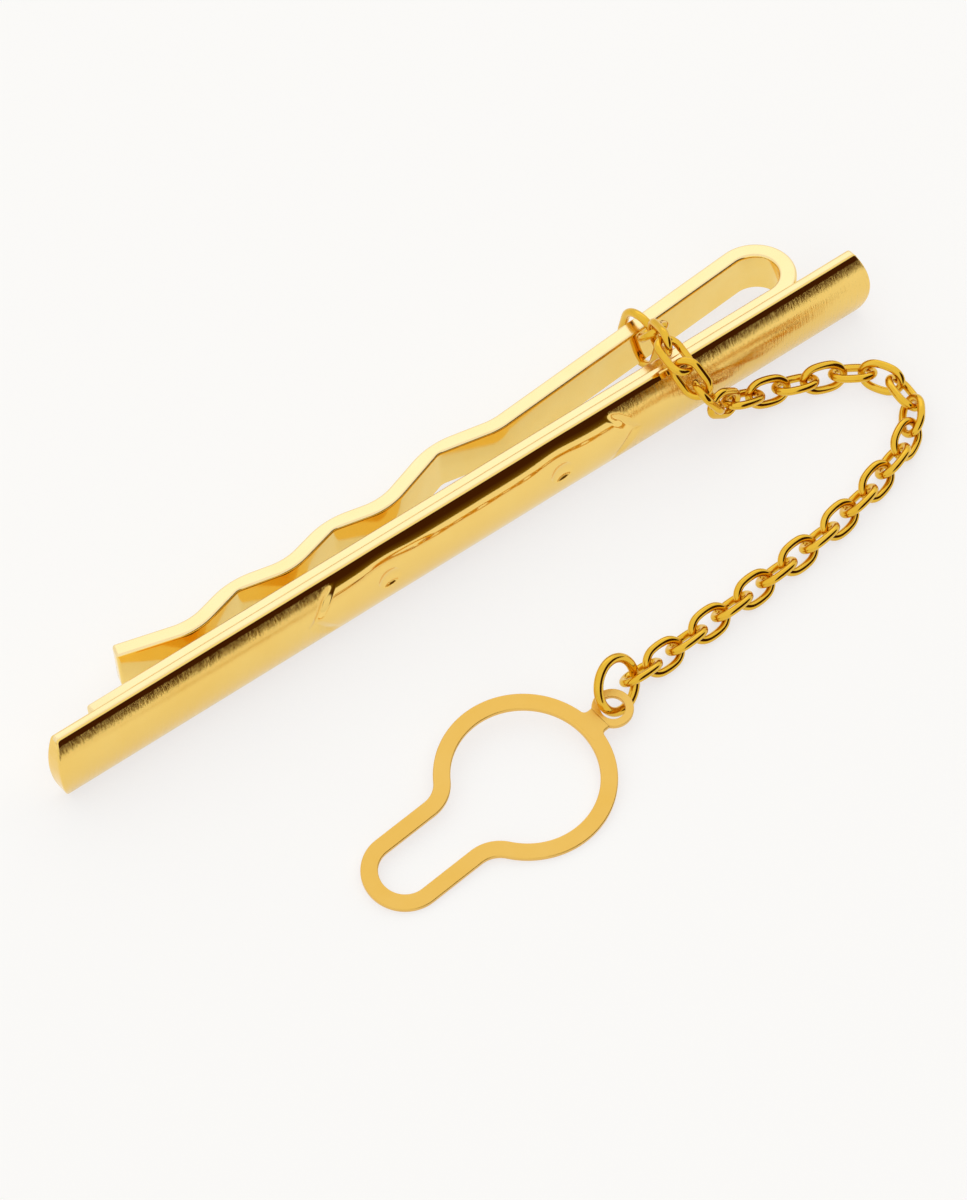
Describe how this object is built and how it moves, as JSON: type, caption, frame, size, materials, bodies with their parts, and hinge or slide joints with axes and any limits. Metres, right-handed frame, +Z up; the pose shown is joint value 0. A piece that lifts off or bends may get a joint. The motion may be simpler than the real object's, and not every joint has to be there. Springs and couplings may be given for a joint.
{
  "type": "tie clip with chain",
  "caption": "Arched gold-coloured bar with a sprung back strip that grips a tie, and a fine cable chain ending in a flat keyhole loop for a shirt button.",
  "frame": {"origin": "middle of the bar's lower back edge, on the table that the clip lies on", "axes": "+X along the bar towards the bow of the strip, +Y from the bar's face to its back, +Z up from the table"},
  "size_m": [0.0648, 0.0297, 0.0076],
  "materials": {
    "polished_gold_bar": "gold plate, polished middle panel and fine brushed end panels",
    "gold_strip": "gold plate, polished",
    "gold_wire": "gold plate, polished round wire",
    "brushed_gold_sheet": "gold plate, brushed flat sheet"
  },
  "bodies": {
    "clip": {"front_bar": "polished_gold_bar", "clip_base_leg": "gold_strip", "clip_bow": "gold_strip"},
    "tongue": {"clip_tongue": "gold_strip"},
    "tongue_ring": {"tongue_ring": "gold_wire"},
    "link_01": {"chain_link_01": "gold_wire"},
    "link_02": {"chain_link_02": "gold_wire"},
    "link_03": {"chain_link_03": "gold_wire"},
    "link_04": {"chain_link_04": "gold_wire"},
    "link_05": {"chain_link_05": "gold_wire"},
    "link_06": {"chain_link_06": "gold_wire"},
    "link_07": {"chain_link_07": "gold_wire"},
    "link_08": {"chain_link_08": "gold_wire"},
    "link_09": {"chain_link_09": "gold_wire"},
    "link_10": {"chain_link_10": "gold_wire"},
    "link_11": {"chain_link_11": "gold_wire"},
    "link_12": {"chain_link_12": "gold_wire"},
    "link_13": {"chain_link_13": "gold_wire"},
    "link_14": {"chain_link_14": "gold_wire"},
    "link_15": {"chain_link_15": "gold_wire"},
    "link_16": {"chain_link_16": "gold_wire"},
    "link_17": {"chain_link_17": "gold_wire"},
    "link_18": {"chain_link_18": "gold_wire"},
    "link_19": {"chain_link_19": "gold_wire"},
    "link_20": {"chain_link_20": "gold_wire"},
    "link_21": {"chain_link_21": "gold_wire"},
    "link_22": {"chain_link_22": "gold_wire"},
    "link_23": {"chain_link_23": "gold_wire"},
    "link_24": {"chain_link_24": "gold_wire"},
    "link_25": {"chain_link_25": "gold_wire"},
    "link_26": {"chain_link_26": "gold_wire"},
    "link_27": {"chain_link_27": "gold_wire"},
    "link_28": {"chain_link_28": "gold_wire"},
    "loop_ring": {"loop_ring": "gold_wire"},
    "button_loop": {"button_loop": "brushed_gold_sheet"}
  },
  "joints": [
    {"name": "tongue_open", "type": "hinge", "parent": "clip", "child": "tongue", "pos_m": [0.02611, 0.00321, 0.00254], "axis": [0, -0.1346, -0.9909], "range_deg": [0, 3.4], "stiffness_Nm_per_rad": 3, "deforming": ["clip_bow"]},
    {"name": "ring_slide", "type": "slide", "parent": "tongue", "child": "tongue_ring", "axis": [0.9963, 0.0846, -0.0115], "range_m": [-0.003, 0.003]},
    {"name": "link_01_swing", "type": "hinge", "parent": "tongue_ring", "child": "link_01", "pos_m": [0.01772, 0.00343, 0.00457], "axis": [-0.0572, 0.7606, 0.6467], "range_deg": [-10, 10]},
    {"name": "link_02_swing", "type": "hinge", "parent": "link_01", "child": "link_02", "pos_m": [0.01703, 0.0024, 0.00608], "axis": [0.9376, -0.1816, 0.2965], "range_deg": [-45, 2]},
    {"name": "link_03_swing", "type": "hinge", "parent": "link_02", "child": "link_03", "pos_m": [0.0167, 0.00053, 0.00679], "axis": [0.145, 0.4094, 0.9007], "range_deg": [-15, 8]},
    {"name": "link_04_swing", "type": "hinge", "parent": "link_03", "child": "link_04", "pos_m": [0.01667, -0.00145, 0.00623], "axis": [-0.9321, -0.0168, 0.3619], "range_deg": [-10, 32]},
    {"name": "link_05_swing", "type": "hinge", "parent": "link_04", "child": "link_05", "pos_m": [0.01713, -0.00275, 0.0047], "axis": [-0.6626, 0.4131, -0.6247], "range_deg": [-8, 20]},
    {"name": "link_06_swing", "type": "hinge", "parent": "link_05", "child": "link_06", "pos_m": [0.0182, -0.00306, 0.00298], "axis": [0.244, 0.9582, -0.149], "range_deg": [-45, 45]},
    {"name": "link_07_swing", "type": "hinge", "parent": "link_06", "child": "link_07", "pos_m": [0.01978, -0.0028, 0.00176], "axis": [0.6354, 0.217, 0.7411], "range_deg": [-35, 18]},
    {"name": "link_08_swing", "type": "hinge", "parent": "link_07", "child": "link_08", "pos_m": [0.02172, -0.00286, 0.00125], "axis": [0.1297, -0.8981, 0.4203], "range_deg": [-45, 45]},
    {"name": "link_09_swing", "type": "hinge", "parent": "link_08", "child": "link_09", "pos_m": [0.02362, -0.00342, 0.00111], "axis": [-0.2144, -0.435, -0.8745], "range_deg": [-45, 45]},
    {"name": "link_10_swing", "type": "hinge", "parent": "link_09", "child": "link_10", "pos_m": [0.02548, -0.00406, 0.00104], "axis": [0.2501, 0.8427, -0.4769], "range_deg": [-45, 45]},
    {"name": "link_11_swing", "type": "hinge", "parent": "link_10", "child": "link_11", "pos_m": [0.02734, -0.00472, 0.00101], "axis": [0.1763, 0.4446, 0.8782], "range_deg": [-45, 45]},
    {"name": "link_12_swing", "type": "hinge", "parent": "link_11", "child": "link_12", "pos_m": [0.02895, -0.00588, 0.00101], "axis": [-0.4746, -0.733, 0.4873], "range_deg": [-45, 45]},
    {"name": "link_13_swing", "type": "hinge", "parent": "link_12", "child": "link_13", "pos_m": [0.02977, -0.00772, 0.00101], "axis": [-0.4595, -0.2557, -0.8506], "range_deg": [-45, 45]},
    {"name": "link_14_swing", "type": "hinge", "parent": "link_13", "child": "link_14", "pos_m": [0.02932, -0.00973, 0.00097], "axis": [0.7957, -0.0765, -0.6008], "range_deg": [-45, 25]},
    {"name": "link_15_swing", "type": "hinge", "parent": "link_14", "child": "link_15", "pos_m": [0.02789, -0.01119, 0.00093], "axis": [0.513, -0.4278, 0.7442], "range_deg": [-45, 45]},
    {"name": "link_16_swing", "type": "hinge", "parent": "link_15", "child": "link_16", "pos_m": [0.02606, -0.012, 0.0009], "axis": [-0.3493, 0.6215, 0.7012], "range_deg": [-45, 45]},
    {"name": "link_17_swing", "type": "hinge", "parent": "link_16", "child": "link_17", "pos_m": [0.02419, -0.01263, 0.00089], "axis": [-0.2402, 0.6636, -0.7084], "range_deg": [-45, 45]},
    {"name": "link_18_swing", "type": "hinge", "parent": "link_17", "child": "link_18", "pos_m": [0.0223, -0.01319, 0.0009], "axis": [0.2074, -0.6769, -0.7063], "range_deg": [-45, 45]},
    {"name": "link_19_swing", "type": "hinge", "parent": "link_18", "child": "link_19", "pos_m": [0.02038, -0.01363, 0.0009], "axis": [0.1694, -0.6862, 0.7074], "range_deg": [-45, 45]},
    {"name": "link_20_swing", "type": "hinge", "parent": "link_19", "child": "link_20", "pos_m": [0.01844, -0.01398, 0.0009], "axis": [-0.1312, 0.6947, 0.7073], "range_deg": [-45, 45]},
    {"name": "link_21_swing", "type": "hinge", "parent": "link_20", "child": "link_21", "pos_m": [0.01649, -0.01425, 0.0009], "axis": [-0.1028, 0.7, -0.7067], "range_deg": [-45, 45]},
    {"name": "link_22_swing", "type": "hinge", "parent": "link_21", "child": "link_22", "pos_m": [0.01454, -0.01447, 0.0009], "axis": [0.0839, -0.7015, -0.7077], "range_deg": [-45, 45]},
    {"name": "link_23_swing", "type": "hinge", "parent": "link_22", "child": "link_23", "pos_m": [0.01258, -0.01467, 0.00091], "axis": [0.0739, -0.7038, 0.7065], "range_deg": [-45, 45]},
    {"name": "link_24_swing", "type": "hinge", "parent": "link_23", "child": "link_24", "pos_m": [0.01062, -0.01484, 0.00091], "axis": [-0.0626, 0.7037, 0.7077], "range_deg": [-45, 45]},
    {"name": "link_25_swing", "type": "hinge", "parent": "link_24", "child": "link_25", "pos_m": [0.00866, -0.015, 0.0009], "axis": [-0.0573, 0.7054, -0.7065], "range_deg": [-45, 45]},
    {"name": "link_26_swing", "type": "hinge", "parent": "link_25", "child": "link_26", "pos_m": [0.0067, -0.01515, 0.00089], "axis": [0.0597, -0.704, -0.7077], "range_deg": [-45, 45]},
    {"name": "link_27_swing", "type": "hinge", "parent": "link_26", "child": "link_27", "pos_m": [0.00473, -0.01531, 0.0009], "axis": [0.0586, -0.7053, 0.7065], "range_deg": [-45, 45]},
    {"name": "link_28_swing", "type": "hinge", "parent": "link_27", "child": "link_28", "pos_m": [0.00278, -0.01547, 0.00101], "axis": [-0.0252, 0.707, 0.7068], "range_deg": [-45, 45]},
    {"name": "ring_swing", "type": "hinge", "parent": "link_28", "child": "loop_ring", "pos_m": [0.00083, -0.01563, 0.00123], "axis": [-0.129, 0.6988, -0.7036], "range_deg": [-45, 45]},
    {"name": "loop_swing", "type": "hinge", "parent": "loop_ring", "child": "button_loop", "pos_m": [0.00008, -0.01572, 0.00182], "axis": [0.2962, -0.8138, 0.5], "range_deg": [-24, 25]}
  ]
}
